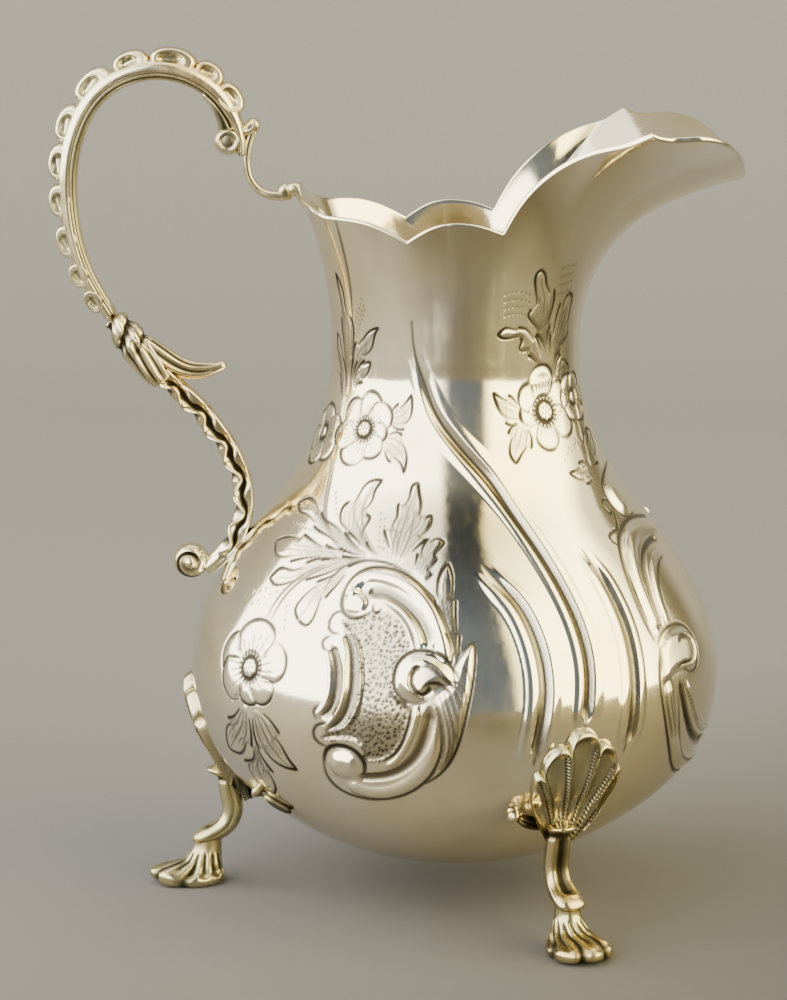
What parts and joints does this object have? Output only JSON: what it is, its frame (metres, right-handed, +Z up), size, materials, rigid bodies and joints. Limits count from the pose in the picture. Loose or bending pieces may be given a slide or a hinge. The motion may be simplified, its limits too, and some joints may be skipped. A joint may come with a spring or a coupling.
{
  "type": "cream jug",
  "caption": "Pear-shaped silver cream jug with a drawn-out pouring lip, leafy scroll handle, chased belly and cast scroll legs with shell knees.",
  "frame": {"origin": "on the table, under the middle of the jug's overall length and width", "axes": "+Z up, +X towards the spout, -X towards the handle, +Y to the left of the spout"},
  "size_m": [0.1212, 0.1003, 0.1502],
  "materials": {
    "body_silver": "polished raised silver, chased lines darkened by tarnish",
    "handle_silver": "polished cast silver with dark recesses",
    "shell_silver": "polished cast silver with dark flutes",
    "leg_silver": "polished cast silver, worn on the high points"
  },
  "bodies": {
    "root": {"body": "body_silver", "handle_volute": "handle_silver", "handle_scroll": "handle_silver", "handle_lobes": "handle_silver", "handle_bracket": "handle_silver", "handle_stem": "handle_silver", "handle_spur": "handle_silver", "handle_terminal": "handle_silver", "handle_lower": "handle_silver", "rear_shell": "shell_silver", "rear_leg": "leg_silver", "rear_foot": "leg_silver", "rear_leaf_scrolls": "shell_silver", "front_right_shell": "shell_silver", "front_right_leg": "leg_silver", "front_right_foot": "leg_silver", "front_right_leaf_scrolls": "shell_silver", "front_left_shell": "shell_silver", "front_left_leg": "leg_silver", "front_left_foot": "leg_silver", "front_left_leaf_scrolls": "shell_silver"}
  },
  "joints": []
}
